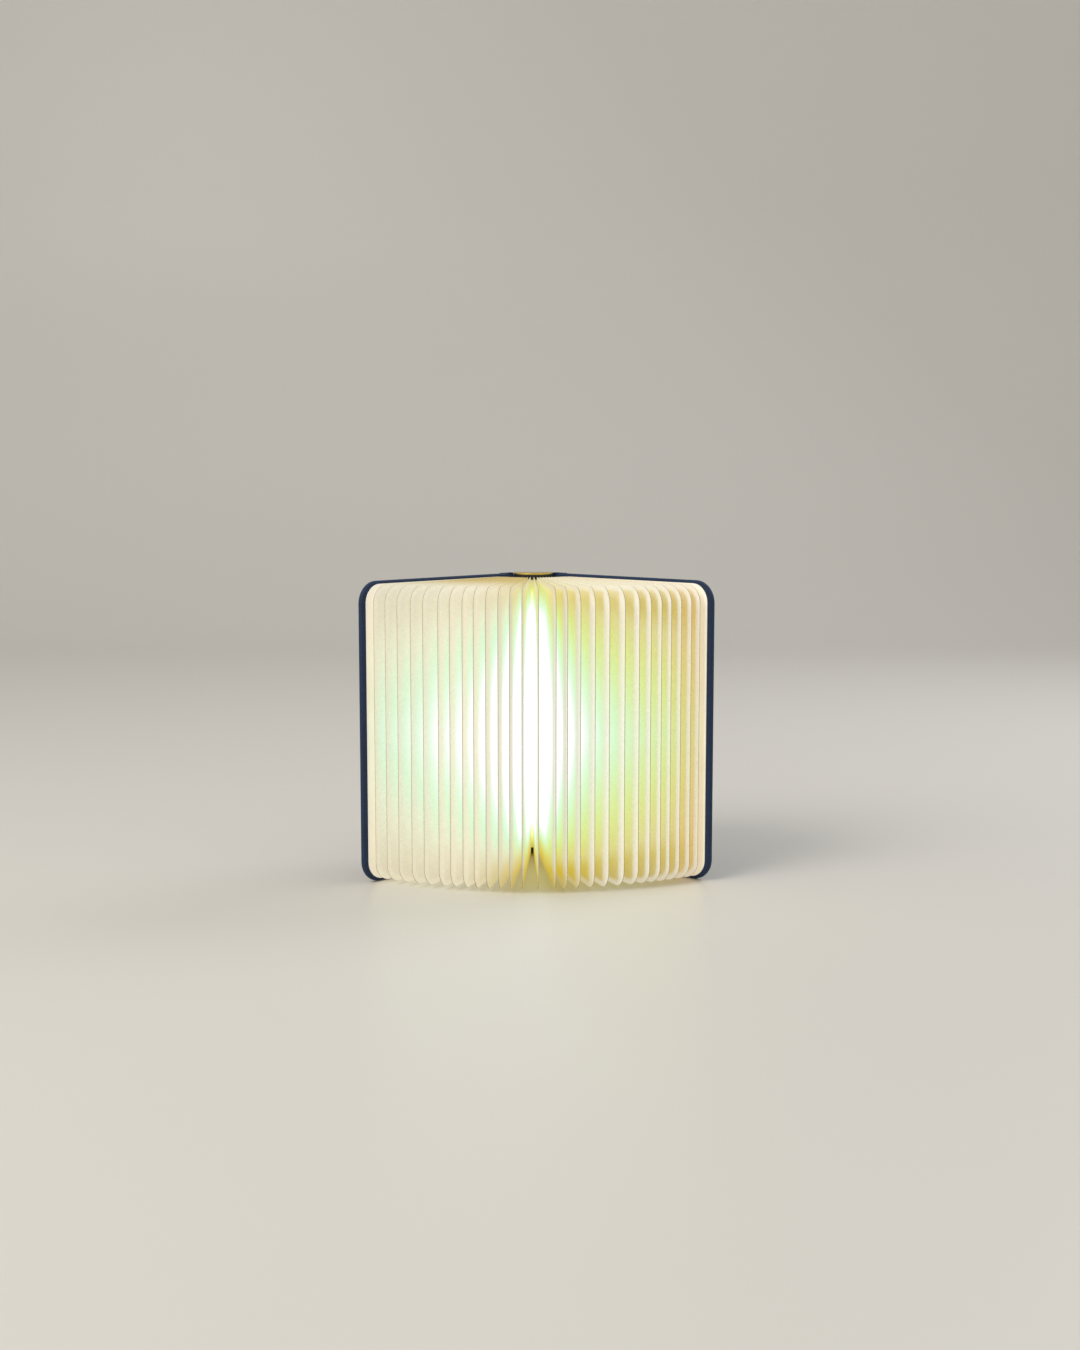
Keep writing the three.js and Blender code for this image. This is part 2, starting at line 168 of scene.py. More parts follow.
# %% Steps that become nodes
RANGE_INPUTS = ("Value", "From Min", "From Max", "To Min", "To Max")
MIX_INPUTS = ("Factor", "A", "B")
STEP_NODES = {
    "MIX": ("ShaderNodeMix", MIX_INPUTS, "Result", {"data_type": "RGBA"}),
    "TINT": ("ShaderNodeMix", MIX_INPUTS, "Result", {"data_type": "RGBA", "blend_type": "MULTIPLY"}),
    "STRETCH": ("ShaderNodeMapping", ("Vector", "Scale"), "Vector", {}),
    "NOISE": ("ShaderNodeTexNoise", ("Vector", "Scale", "Detail", "Distortion"), "Fac", {}),
    "BUMP": ("ShaderNodeBump", ("Height", "Strength", "Distance"), "Normal", {}),
    "RAMP": ("ShaderNodeValToRGB", ("Fac",), "Color", {}),
    "LINEAR": ("ShaderNodeMapRange", RANGE_INPUTS, 0, {"interpolation_type": "LINEAR"}),
    "SMOOTHSTEP": ("ShaderNodeMapRange", RANGE_INPUTS, 0, {"interpolation_type": "SMOOTHSTEP"}),
}


def set_ramp(ramp, stops):
    """Gives a colour ramp these (place, swatch) stops."""
    elements = ramp.color_ramp.elements
    while len(elements) > 1:
        elements.remove(elements[-1])
    elements[0].position, elements[0].color = stops[0][0], to_linear(stops[0][1])
    for place, swatch in stops[1:]:
        elements.new(place).color = to_linear(swatch)


def add_steps(tree, steps, known):
    """Adds a node for each step, and its result to the table of known results, which is given back."""
    for name, operation, *parts in steps:
        values = [known.get(part, part) for part in parts]
        values = [to_linear(value) if isinstance(value, str) else value for value in values]
        math_node = ("ShaderNodeMath", range(len(values)), 0, {"operation": operation})
        kind, sockets, result, options = STEP_NODES.get(operation, math_node)
        node = add_node(tree, kind, dict(zip(sockets, values)), label=name, **options)
        if operation == "RAMP":
            set_ramp(node, values[1])
        known[name] = node.outputs[result]
    return known


def known_places(tree):
    """The place on the piece, whole and as X, Y and Z, as the first known results of a material."""
    place = add_node(tree, "ShaderNodeTexCoord").outputs["Object"]
    axes = add_node(tree, "ShaderNodeSeparateXYZ", {0: place}).outputs
    return {"place": place, "X": axes["X"], "Y": axes["Y"], "Z": axes["Z"]}


print("besides Math, a step can be", ", ".join(STEP_NODES))

# %% [markdown]
# ## Linen book cloth
# The covers and the spine are wrapped in navy linen, a plain weave of slubby flax threads, about two to a
# millimetre. A single colour would look like paint. Here the product of two sine waves takes the threads
# over and under each other, a noise bends them, and long thin streaks make each one a little lighter or
# darker. The pattern reads the cloth's own map, in millimetres on the cloth as it lay flat, so the threads
# turn over the edges as real ones do. It is drawn at 0.62 mm so that it still shows.

# %% Linen material
THREAD = 0.62
BENDS_PER_MM = 0.55
THREAD_WANDER = (0.7, 0.7, 0.0)
WARP_STREAKS = (0.12, 1.5, 1.0)
WEFT_STREAKS = (1.5, 0.12, 1.0)
SLUB_HEIGHT = 1.2


def linen(name, dark, light):
    material, tree, shader = new_material(name)
    flat = add_node(tree, "ShaderNodeUVMap", uv_map="ClothMap").outputs["UV"]
    wobble = add_node(tree, "ShaderNodeTexNoise", {"Vector": flat, "Scale": BENDS_PER_MM, "Detail": 3.0})
    bend = add_node(tree, "ShaderNodeVectorMath",
                    {0: wobble.outputs["Color"], 1: (0.5, 0.5, 0.5)}, operation="SUBTRACT")
    bent = add_node(tree, "ShaderNodeVectorMath", {0: bend.outputs["Vector"], 1: THREAD_WANDER, 2: flat},
                    operation="MULTIPLY_ADD").outputs["Vector"]
    turns = add_node(tree, "ShaderNodeVectorMath", {0: bent, "Scale": math.pi / THREAD}, operation="SCALE")
    waves = add_node(tree, "ShaderNodeVectorMath", {0: turns.outputs["Vector"]}, operation="SINE")
    sides = add_node(tree, "ShaderNodeSeparateXYZ", {0: waves.outputs["Vector"]})
    known = add_steps(tree, [
        ("along warp", "STRETCH", "bent", WARP_STREAKS),
        ("warp", "NOISE", "along warp", 1.0, 2.0),
        ("along weft", "STRETCH", "bent", WEFT_STREAKS),
        ("weft", "NOISE", "along weft", 1.0, 2.0),
        ("weave", "MULTIPLY", "over", "under"),
        ("weft share", "LINEAR", "weave", -1.0, 1.0),
        ("past warp", "SUBTRACT", "weft", "warp"),
        ("slub", "MULTIPLY_ADD", "past warp", "weft share", "warp"),
        ("tone", "RAMP", "slub", ((0.32, dark), (0.72, light))),
        ("height", "MULTIPLY_ADD", "slub", SLUB_HEIGHT, "weave"),
        ("relief", "BUMP", "height", 0.55, 0.12 * MM),
        ("roughness", "LINEAR", "slub", 0.3, 0.7, 0.72, 0.92)],
        {"bent": bent, "over": sides.outputs["X"], "under": sides.outputs["Y"]})
    set_inputs(tree, shader, {
        "Base Color": known["tone"], "Normal": known["relief"], "Roughness": known["roughness"],
        "Sheen Weight": 0.13, "Sheen Roughness": 0.5, "Sheen Tint": to_linear("#7f9cc4")})
    return material


navy_linen = linen("linen book cloth, plain weave, dyed navy", "#071830", "#17345b")
print("linen drawn with", round(10 / THREAD, 1), "threads to the centimetre")

# %% [markdown]
# ## Glowing page paper
# Each page is a pocket of spun paper, lit from inside the fan. Light passed on through translucent paper
# would take many bounces to render, so the glow is drawn as emission by a rule. The rule first finds which
# page a point is on, from its angle round the spine, and how much light gets there. The light comes from
# the spine, so it is strongest near it and at mid-height, and it is a little weaker at the foot than at the
# open head.

# %% How much light a page gets
LIGHT_X = 3 * MM
LIGHT_REACH = 80 * MM
LIGHT_LEVELS = [
    ("forward", "MULTIPLY", "Y", -1.0),
    ("angle", "ARCTAN2", "X", "forward"),
    ("side", "DIVIDE", "angle", OPEN_ANGLE),
    ("aside", "ABSOLUTE", "side"),
    ("turn", "SMOOTHSTEP", "side", -0.24, -0.04),
    ("depth", "SUBTRACT", "Y", ARCH_CENTRE),
    ("across", "SUBTRACT", "X", LIGHT_X),
    ("depth squared", "MULTIPLY", "depth", "depth"),
    ("both squared", "MULTIPLY_ADD", "across", "across", "depth squared"),
    ("distance", "SQRT", "both squared"),
    ("closeness", "DIVIDE", LIGHT_REACH, "distance"),
    ("steepened", "POWER", "closeness", 1.6),
    ("near", "MINIMUM", "steepened", 2.6),
    ("rise", "LINEAR", "Z", 0.0, COVER_HEIGHT, -1.0, 1.0),
    ("end share", "ABSOLUTE", "rise"),
    ("fall", "POWER", "end share", 1.2),
    ("lens", "LINEAR", "fall", 0.0, 1.0, 1.0, 0.2),
    ("left at end", "LINEAR", "rise", -1.0, 1.0, 0.45, 0.75),
    ("ends", "SMOOTHSTEP", "end share", 0.65, 1.0, 1.0, "left at end"),
    ("left side", "LINEAR", "side", -1.0, 0.0, 0.87, 0.96),
    ("right loss", "LINEAR", "side", 0.0, 0.4, 0.0, 0.25),
    ("far right loss", "LINEAR", "side", 0.4, 1.0, 0.0, 0.14),
    ("less right", "SUBTRACT", "left side", "right loss"),
    ("by side", "SUBTRACT", "less right", "far right loss"),
    ("by distance", "MULTIPLY", "by side", "near"),
    ("by height", "MULTIPLY", "by distance", "lens"),
    ("by end", "MULTIPLY", "by height", "ends"),
    ("gain", "LINEAR", "turn", 0.0, 1.0, 1.12, 1.0),
    ("deeper", "SMOOTHSTEP", "from fore", 3 * MM, 11 * MM, 0.98, "gain"),
    ("level", "MULTIPLY", "by end", "deeper"),
]
print("the light's level on a page takes", len(LIGHT_LEVELS), "steps")

# %% [markdown]
# The second half of the rule gives each level its colour: cool left of the middle, warm to its right, and
# amber on the last pages. In the seam, where two layers are pressed together, little light comes through,
# and the seam glows dimly in cream. The seam is narrow by the covers. By the middle, where the pages face
# the camera edge on, it is drawn deeper, as it looks there. Towards the spine the heads get painted shade in
# tan, where the page tops converge, and the ends of the middle pages get painted yellow light, mostly at
# the foot. Both are painted into the paper's base colour as well as into its glow.

# %% The colour of the light on a page
SEAM = 2.2 * MM
CENTRE_SEAM = 10 * MM
COVER_SEAM = 1.9 * MM
HEAD_BAND = 5 * MM
COOL_LIGHT = ((0.0, "#c2b9a0"), (0.3, "#cfcab1"), (0.5, "#d6ddc6"), (0.68, "#c0e6c6"), (0.82, "#c9ecd6"),
              (0.95, "#ddf1f2"), (1.0, "#f2f8ff"))
WARM_LIGHT = ((0.0, "#a28610"), (0.2, "#b9a510"), (0.3, "#ccc47a"), (0.4, "#cbcf72"), (0.5, "#c7db7d"),
              (0.58, "#c5e08f"), (0.68, "#c2e6b1"), (0.78, "#baebc1"), (0.9, "#d4f1e7"), (1.0, "#f2f8ff"))
LIGHT_COLOURS = [
    ("within", "SMOOTHSTEP", "from edge", SEAM - 1.0 * MM, SEAM + 0.6 * MM),
    ("seam", "LINEAR", "aside", 0.1, 0.8, CENTRE_SEAM, COVER_SEAM),
    ("seams in", "DIVIDE", "from fore", "seam"),
    ("behind", "SMOOTHSTEP", "seams in", 0.7, 1.3),
    ("inside", "MULTIPLY", "within", "behind"),
    ("cool", "RAMP", "level", COOL_LIGHT),
    ("warm", "RAMP", "level", WARM_LIGHT),
    ("light", "MIX", "turn", "cool", "warm"),
    ("last pages", "LINEAR", "side", 0.82, 1.0, 0.0, 0.55),
    ("amber light", "MIX", "last pages", "light", "#cc9d12"),
    ("bond", "MIX", "turn", "#dcd4ba", "#ebe8e0"),
    ("light share", "LINEAR", "inside", 0.0, 1.0, 0.24, 1.0),
    ("page light", "MIX", "light share", "bond", "amber light"),
    # Painted shade: towards the spine the page heads turn tan, in the glow and in the paper's base colour.
    ("most tan", "LINEAR", "turn", 0.0, 1.0, 0.85, 0.2),
    ("tan", "LINEAR", "from fore", 12 * MM, 50 * MM, 0.0, "most tan"),
    ("head", "LINEAR", "Z", LEAF_HIGH - HEAD_BAND, LEAF_HIGH, 0.0, "tan"),
    ("tan light", "MIX", "head", "page light", "#b09748"),
    # Painted yellow light at the ends of the middle pages, mostly at the foot.
    ("end", "SMOOTHSTEP", "end share", 0.78, 0.97),
    ("most yellow", "LINEAR", "Z", 0.0, COVER_HEIGHT, 0.8, 0.25),
    ("amid", "LINEAR", "aside", 0.1, 0.42, "most yellow", 0.0),
    ("yellow", "MULTIPLY", "end", "amid"),
    ("glow", "MIX", "yellow", "tan light", "#dcc83a"),
    ("bond power", "LINEAR", "turn", 0.0, 1.0, 0.55, 0.47),
    ("seam power", "LINEAR", "aside", 0.05, 0.4, 0.34, "bond power"),
    ("power", "LINEAR", "inside", 0.0, 1.0, "seam power", 0.53),
    ("clouds", "LINEAR", "fibres", 0.3, 0.7, 0.93, 1.05),
    ("strength", "MULTIPLY", "power", "clouds"),
    ("tint", "RAMP", "fibres", ((0.3, "#c3c0b6"), (0.7, "#cfcbc2"))),
    # The paper's base colour also gets the painted head shade and the painted yellow light.
    ("toned", "MAXIMUM", "head", "yellow"),
    ("paper", "MIX", "toned", "tint", "#b59c4c"),
]
print("its colour takes", len(LIGHT_COLOURS), "more")

# %% [markdown]
# The two distances that the rule reads, from the page's whole outline and from its fore-edge, are stored on
# the mesh when the page is made. Spun paper has long fibres, which show as faint clouds in the light and as
# a slight relief. The cut edge is plainer, and darker than the faces, because the light leaves by the
# faces.

# %% Page material and cut edge
FIBRES_PER_METRE = 900.0
SPECKS_PER_METRE = 1800.0


def page_paper():
    material, tree, shader = new_material("spun page paper, lit from the spine")
    known = known_places(tree)
    for label in ("from edge", "from fore"):
        stored = add_node(tree, "ShaderNodeAttribute", attribute_name=label.replace(" ", "_"))
        known[label] = stored.outputs["Fac"]
    fibres = [("fibres", "NOISE", "place", FIBRES_PER_METRE, 4.0, 1.5)]
    relief = [("relief", "BUMP", "fibres", 0.25, 0.05 * MM)]
    add_steps(tree, fibres + relief + LIGHT_LEVELS + LIGHT_COLOURS, known)
    set_inputs(tree, shader, {
        "Base Color": known["paper"], "Roughness": 0.7, "Normal": known["relief"],
        "Emission Color": known["glow"], "Emission Strength": known["strength"]})
    return material


def speckled(name, per_metre, dark, light, bump, depth, roughness, glow=0.0):
    """A plain finish with this many specks to a metre, which may glow faintly in its own colour."""
    material, tree, shader = new_material(name)
    known = add_steps(tree, [
        ("specks", "NOISE", "place", per_metre, 3.0),
        ("tone", "RAMP", "specks", ((0.3, dark), (0.7, light))),
        ("relief", "BUMP", "specks", bump, depth)], known_places(tree))
    set_inputs(tree, shader, {
        "Base Color": known["tone"], "Normal": known["relief"], "Roughness": roughness})
    if glow:
        set_inputs(tree, shader, {"Emission Color": known["tone"], "Emission Strength": glow})
    return material


lit_paper = page_paper()
bonded_edge = speckled("cut edge of two bonded paper layers", SPECKS_PER_METRE, "#aa9f82", "#c4b99b",
                       bump=0.3, depth=0.04 * MM, roughness=0.85, glow=0.12)
print("page materials:", lit_paper.name, "and", bonded_edge.name)

# %% [markdown]
# ## The pages
# Twenty-seven pages share one shape and differ only in their place and turn, so one Geometry Nodes tree
# makes them all. It starts from a flat grid, whose rows are spaced by angle where the corners are round,
# and whose columns crowd towards the seam at the fore-edge. The first steps find each grid point's row and
# column and lay it on the page. The last ones work out how far it lies inside the rounded outline: past the
# corner's centre that is a circle's distance, and elsewhere a straight one.

# %% The page's sizes and its formulas
CORNER_ROWS = 9
MIDDLE_ROWS = 14
HEAD_ROW = CORNER_ROWS + MIDDLE_ROWS
ROWS = HEAD_ROW + CORNER_ROWS + 1
COLUMNS = 24
CROWDING = 2.2
PAGE_INPUTS = {
    "Start": LEAF_START, "Reach": LEAF_REACH, "Low": LEAF_LOW, "High": LEAF_HIGH, "Corner": LEAF_CORNER,
    "Seam width": SEAM, "Seam thickness": 0.3 * MM, "Leaf thickness": LEAF_THICKNESS,
    "Offset": 0.0, "Hinge": 0.0, "Turn": 0.0,
}
PAGE_STEPS = [
    ("row", "MODULO", "index", ROWS),
    ("rows before", "DIVIDE", "index", ROWS),
    ("column", "FLOOR", "rows before"),
    ("foot turn", "LINEAR", "row", CORNER_ROWS, 0, 0, math.pi / 2),
    ("body share", "LINEAR", "row", CORNER_ROWS, HEAD_ROW),
    ("head turn", "LINEAR", "row", HEAD_ROW, ROWS - 1, 0, math.pi / 2),
    ("foot drop", "SINE", "foot turn"),
    ("head lift", "SINE", "head turn"),
    ("lift", "SUBTRACT", "head lift", "foot drop"),
    ("tall", "SUBTRACT", "High", "Low"),
    ("straight", "MULTIPLY_ADD", "Corner", -2.0, "tall"),
    ("first", "ADD", "Low", "Corner"),
    ("along", "MULTIPLY_ADD", "body share", "straight", "first"),
    ("height", "MULTIPLY_ADD", "lift", "Corner", "along"),
    ("turned", "ADD", "foot turn", "head turn"),
    ("bow", "COSINE", "turned"),
    ("shoulder", "SUBTRACT", "Reach", "Corner"),
    ("edge", "MULTIPLY_ADD", "Corner", "bow", "shoulder"),
    ("from fore-edge", "LINEAR", "column", COLUMNS - 1, 0),
    ("crowded", "POWER", "from fore-edge", CROWDING),
    ("wide", "SUBTRACT", "edge", "Start"),
    ("back", "MULTIPLY", "wide", "crowded"),
    ("reach", "SUBTRACT", "edge", "back"),
    ("past", "SUBTRACT", "reach", "shoulder"),
    ("both ends", "ADD", "Low", "High"),
    ("off middle", "MULTIPLY_ADD", "both ends", -0.5, "height"),
    ("off", "ABSOLUTE", "off middle"),
    ("above", "MULTIPLY_ADD", "straight", -0.5, "off"),
    ("past corner", "MAXIMUM", "past", 0.0),
    ("above corner", "MAXIMUM", "above", 0.0),
    ("past square", "MULTIPLY", "past corner", "past corner"),
    ("squares", "MULTIPLY_ADD", "above corner", "above corner", "past square"),
    ("round part", "SQRT", "squares"),
    ("nearer", "MAXIMUM", "past", "above"),
    ("flat part", "MINIMUM", "nearer", 0.0),
    ("outside", "ADD", "round part", "flat part"),
    ("from edge", "SUBTRACT", "Corner", "outside"),
    ("from fore", "SUBTRACT", "Reach", "reach"),
]
print("a page takes", len(PAGE_STEPS), "steps, from a grid of", COLUMNS, "by", ROWS)

# %% [markdown]
# The grid then gets a front a leaf's thickness away, sides of cut paper and a back. The two faces draw
# together in the seam and part behind it, as each point moves to its own face, at half the thickness there.
# Last, the whole page is turned and put on its hinge.

# %% The page tree
FACE_STEPS = [
    ("double seam", "MULTIPLY", "Seam width", 2.0),
    ("parted", "SMOOTHSTEP", "edge gap", "Seam width", "double seam", "Seam thickness", "Leaf thickness"),
    ("face side", "LINEAR", "on front", 0.0, 1.0, 0.5, -0.5),
    ("face", "MULTIPLY_ADD", "parted", "face side", "Offset"),
]


def new_tree(name, sizes):
    """A Geometry Nodes tree with a named number input for each size, and its input and output nodes."""
    tree = bpy.data.node_groups.new(name, "GeometryNodeTree")
    tree.interface.new_socket("Geometry", in_out="INPUT", socket_type="NodeSocketGeometry")
    for label, value in sizes.items():
        socket = tree.interface.new_socket(label, in_out="INPUT", socket_type="NodeSocketFloat")
        socket.default_value = value
    tree.interface.new_socket("Geometry", in_out="OUTPUT", socket_type="NodeSocketGeometry")
    return tree, add_node(tree, "NodeGroupInput").outputs, add_node(tree, "NodeGroupOutput")


def add_shape(tree, kind, shape, inputs=None):
    """Adds a node that works on this shape, and gives back the shape that leaves it."""
    return add_node(tree, kind, {0: shape, **(inputs or {})}).outputs[0]


def page_tree():
    tree, size, result = new_tree("page_leaf", PAGE_INPUTS)
    known = {label: size[label] for label in PAGE_INPUTS}
    known["index"] = add_node(tree, "GeometryNodeInputIndex").outputs[0]
    add_steps(tree, PAGE_STEPS, known)
    grid = add_node(tree, "GeometryNodeMeshGrid", {"Vertices X": COLUMNS, "Vertices Y": ROWS})
    laid = add_node(tree, "ShaderNodeCombineXYZ", {"X": known["reach"], "Z": known["height"]})
    sheet = add_shape(tree, "GeometryNodeSetPosition", grid.outputs["Mesh"], {"Position": laid.outputs[0]})
    for label in ("from edge", "from fore"):
        sheet = add_shape(tree, "GeometryNodeStoreNamedAttribute", sheet,
                          {"Name": label.replace(" ", "_"), "Value": known[label]})

    front = add_node(tree, "GeometryNodeExtrudeMesh", {
        "Mesh": sheet, "Offset": (0.0, -1.0, 0.0), "Offset Scale": LEAF_THICKNESS, "Individual": False})
    marked = add_shape(tree, "GeometryNodeStoreNamedAttribute", front.outputs["Mesh"],
                       {"Name": "on_front", "Value": front.outputs["Top"]})
    papered = add_shape(tree, "GeometryNodeSetMaterial", marked, {"Material": lit_paper})
    edged = add_shape(tree, "GeometryNodeSetMaterial", papered,
                      {"Selection": front.outputs["Side"], "Material": bonded_edge})
    behind = add_shape(tree, "GeometryNodeSetMaterial", add_shape(tree, "GeometryNodeFlipFaces", sheet),
                       {"Material": lit_paper})
    both = add_node(tree, "GeometryNodeJoinGeometry", {0: edged})
    tree.links.new(behind, both.inputs[0])
    closed = add_shape(tree, "GeometryNodeMergeByDistance", both.outputs[0], {"Distance": 1e-7})

    for label, stored in (("on front", "on_front"), ("edge gap", "from_edge")):
        known[label] = add_node(tree, "GeometryNodeInputNamedAttribute", {"Name": stored}).outputs[0]
    add_steps(tree, FACE_STEPS, known)
    where = add_node(tree, "GeometryNodeInputPosition")
    axes = add_node(tree, "ShaderNodeSeparateXYZ", {0: where.outputs[0]}).outputs
    spot = add_node(tree, "ShaderNodeCombineXYZ", {"X": axes["X"], "Y": known["face"], "Z": axes["Z"]})
    full = add_shape(tree, "GeometryNodeSetPosition", closed, {"Position": spot.outputs[0]})
    turned = add_shape(tree, "GeometryNodeTransform", full, {
        "Rotation": add_node(tree, "ShaderNodeCombineXYZ", {"Z": size["Turn"]}).outputs[0],
        "Translation": add_node(tree, "ShaderNodeCombineXYZ", {"X": size["Hinge"]}).outputs[0]})
    real = add_shape(tree, "GeometryNodeRealizeInstances", turned)
    tree.links.new(real, result.inputs[0])
    return tree


leaf_tree = page_tree()
print("page tree has", len(leaf_tree.nodes), "nodes")

# %% [markdown]
# A modifier's inputs are set by the identifiers of the tree's sockets, because two sockets may share a
# name. Once the tree has run, its result is taken as a plain mesh, so nothing is left to evaluate when the
# piece is posed.


# %% Growing a piece from a tree
def grow(name, tree, sizes):
    seed = put_in_scene(name + "_seed", bpy.data.meshes.new(name + "_seed"))
    modifier = seed.modifiers.new("grow", "NODES")
    modifier.node_group = tree
    labels = {item.name: item.identifier for item in tree.interface.items_tree if item.in_out == "INPUT"}
    for label, value in sizes.items():
        modifier[labels[label]] = value
    graph = bpy.context.evaluated_depsgraph_get()
    evaluated = seed.evaluated_get(graph)
    mesh = bpy.data.meshes.new_from_object(evaluated, preserve_all_data_layers=True, depsgraph=graph)
    bpy.data.objects.remove(seed)
    mesh.name = name
    return put_in_scene(name, mesh)


def sharpen(mesh, degrees=35):
    """Smooth shading, with the edges past this angle kept sharp."""
    mesh.shade_smooth()
    mesh.set_sharp_from_angle(angle=math.radians(degrees))


print("a page can be grown with these sizes:", ", ".join(PAGE_INPUTS))

# %% [markdown]
# The fan isn't quite even in the photograph, so each page's turn is a share of the cover's, read off from
# where its fore-edge stands: one list for each side, from the middle outwards. The pages' hinges lie evenly
# along the spine. The diffuser in the spine is round, so a page near the middle starts further out, to
# clear it.

# %% Twenty-seven pages
LEFT_SHARES = [0.09, 0.155, 0.215, 0.28, 0.345, 0.405, 0.475, 0.54, 0.63, 0.705, 0.79, 0.87, 0.95]
RIGHT_SHARES = [0.095, 0.155, 0.225, 0.305, 0.385, 0.475, 0.56, 0.63, 0.695, 0.755, 0.82, 0.89, 0.95]
SIDE_COUNT = len(LEFT_SHARES)
MIDDLE_PAGE = SIDE_COUNT + 1

pages = []
for number in range(1, 2 * SIDE_COUNT + 2):
    step = number - MIDDLE_PAGE
    stack = step / MIDDLE_PAGE
    shares = LEFT_SHARES if step < 0 else RIGHT_SHARES
    turn = math.copysign(shares[abs(step) - 1], step) if step else 0.0
    root = max(LEAF_START, SPINE_GAP - ARCH_CENTRE + PLATE_HALF * math.sqrt(1 - stack ** 2))
    page = grow(f"page_{number:02d}_leaf", leaf_tree, {
        "Start": root, "Offset": -LEAF_INSET * stack, "Hinge": HINGE_X * stack,
        "Turn": turn * OPEN_ANGLE - math.pi / 2})
    sharpen(page.data)
    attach(page, "spine" if step == 0 else f"page_{number:02d}_fin")
    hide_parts(f"page_{number:02d}")
    pages.append(page)
print(len(pages), "pages,", len(pages[0].data.polygons), "faces each")

# %% [markdown]
# ## The covers
# A bookbinder glues a greyboard panel onto cloth and folds the cloth's margins in over its edges. Each
# cover's cloth is made the same way: a row of rings that follow the board's outline, from the outer face,
# round the edge and 14 mm in over the inner face, with round edges of the radius that cloth takes over a
# board. Each ring also keeps its place on the cloth as it lay flat, which becomes the map that the weave
# reads.

# %% Rings round a cover
EDGE_ROUND = 0.7 * MM
EDGE_STEPS = 5
HINGE_CORNER = 1.2 * MM
FORE_POINTS = 14
HINGE_POINTS = 5
LEAST_FORE = 0.4 * MM
LEAST_HINGE = 0.2 * MM
PANEL_INSET = 8 * MM
RIM_INSET = 1.2 * MM
CUT_ROUND = 0.15 * MM
CUT_FLAT = 0.2 * MM


def arc_points(x, y, radius, first, last, count):
    turns = [math.radians(first + (last - first) * i / (count - 1)) for i in range(count)]
    return [(x + radius * math.cos(t), y + radius * math.sin(t)) for t in turns]


def cover_ring(inset):
    """The cover's outline this far inside its edge, or outside it if negative, as (reach, height) points."""
    fore = max(COVER_CORNER - inset, LEAST_FORE)
    near = max(HINGE_CORNER - inset, LEAST_HINGE)
    left, right = COVER_START + inset, COVER_REACH - inset
    low, high = inset, COVER_HEIGHT - inset
    return (arc_points(right - fore, low + fore, fore, -90, 0, FORE_POINTS)
            + arc_points(right - fore, high - fore, fore, 0, 90, FORE_POINTS)
            + arc_points(left + near, high - near, near, 90, 180, HINGE_POINTS)
            + arc_points(left + near, low + near, near, 180, 270, HINGE_POINTS))


def cloth_rings():
    """(inset, height off the board's middle, inset on the flat cloth), from the outer face inwards."""
    quarter = EDGE_ROUND * math.pi / 2
    side = 2 * (COVER_HALF - EDGE_ROUND)
    folded = EDGE_ROUND - 2 * quarter - side
    rings = [(PANEL_INSET, COVER_HALF, PANEL_INSET), (RIM_INSET, COVER_HALF, RIM_INSET)]
    for face, used in ((1, 0.0), (-1, quarter + side)):
        for i in range(EDGE_STEPS + 1):
            bent = i if face > 0 else EDGE_STEPS - i
            turn = math.pi / 2 * bent / EDGE_STEPS
            rings.append((EDGE_ROUND * (1 - math.sin(turn)),
                          face * (COVER_HALF - EDGE_ROUND * (1 - math.cos(turn))),
                          EDGE_ROUND - used - quarter * i / EDGE_STEPS))
    return rings + [
        (TURN_IN / 2, -COVER_HALF, folded - TURN_IN / 2),
        (TURN_IN - CUT_ROUND, -COVER_HALF, folded - TURN_IN),
        (TURN_IN, CUT_ROUND - COVER_HALF, folded - TURN_IN - CUT_FLAT),
        (TURN_IN, CLOTH - COVER_HALF, folded - TURN_IN - CLOTH),
        (CLOTH, CLOTH - COVER_HALF, folded),
        (CLOTH, COVER_HALF - CLOTH, CLOTH),
        (PANEL_INSET, COVER_HALF - CLOTH, PANEL_INSET)]


print("rings round a cover", len(cloth_rings()), "of", len(cover_ring(0)), "points")

# %% [markdown]
# The rings are stood up at the cover's own angle and joined, ring to ring, into one closed shell. Its inner
# wall lies against the board, so the turned-in cloth has a thickness where it ends. The left cover is a
# mirror image, which would turn its faces inwards, so they are reversed. The print tells whether each shell
# points outwards: its volume, added up from its faces, is then above zero.

# %% Cover cloths
CLOTH_SHARP = 50


def place_on_cover(side, reach, off, height):
    """A point in the cover's own sizes, off its middle towards its outer face, as a place in the frame."""
    turn = side * OPEN_ANGLE
    x = side * HINGE_X + reach * math.sin(turn) + side * off * math.cos(turn)
    return Vector((x, -reach * math.cos(turn) + side * off * math.sin(turn), height))


def stack_rings(count, rows):
    """The faces of a closed body made of this many rings, each of the same number of points."""
    faces = []
    for k in range(rows - 1):
        for i in range(count):
            j = (i + 1) % count
            faces.append((k * count + i, k * count + j, (k + 1) * count + j, (k + 1) * count + i))
    last = (rows - 1) * count
    return faces + [tuple(reversed(range(count))), tuple(last + i for i in range(count))]


def faced_piece(name, vertices, faces, material, sharp=35):
    """A piece from its points and faces, in one material, smooth up to the sharp angle."""
    mesh = bpy.data.meshes.new(name)
    mesh.from_pydata(vertices, [], faces)
    sharpen(mesh, sharp)
    mesh.materials.append(material)
    return put_in_scene(name, mesh)


def linen_piece(name, vertices, faces, places):
    """A piece of linen. Each point's place on the flat cloth becomes the map, in millimetres."""
    piece = faced_piece(name, vertices, faces, navy_linen, CLOTH_SHARP)
    layer = piece.data.uv_layers.new(name="ClothMap")
    for loop in piece.data.loops:
        u, v = places[loop.vertex_index]
        layer.data[loop.index].uv = (u / MM, v / MM)
    return piece


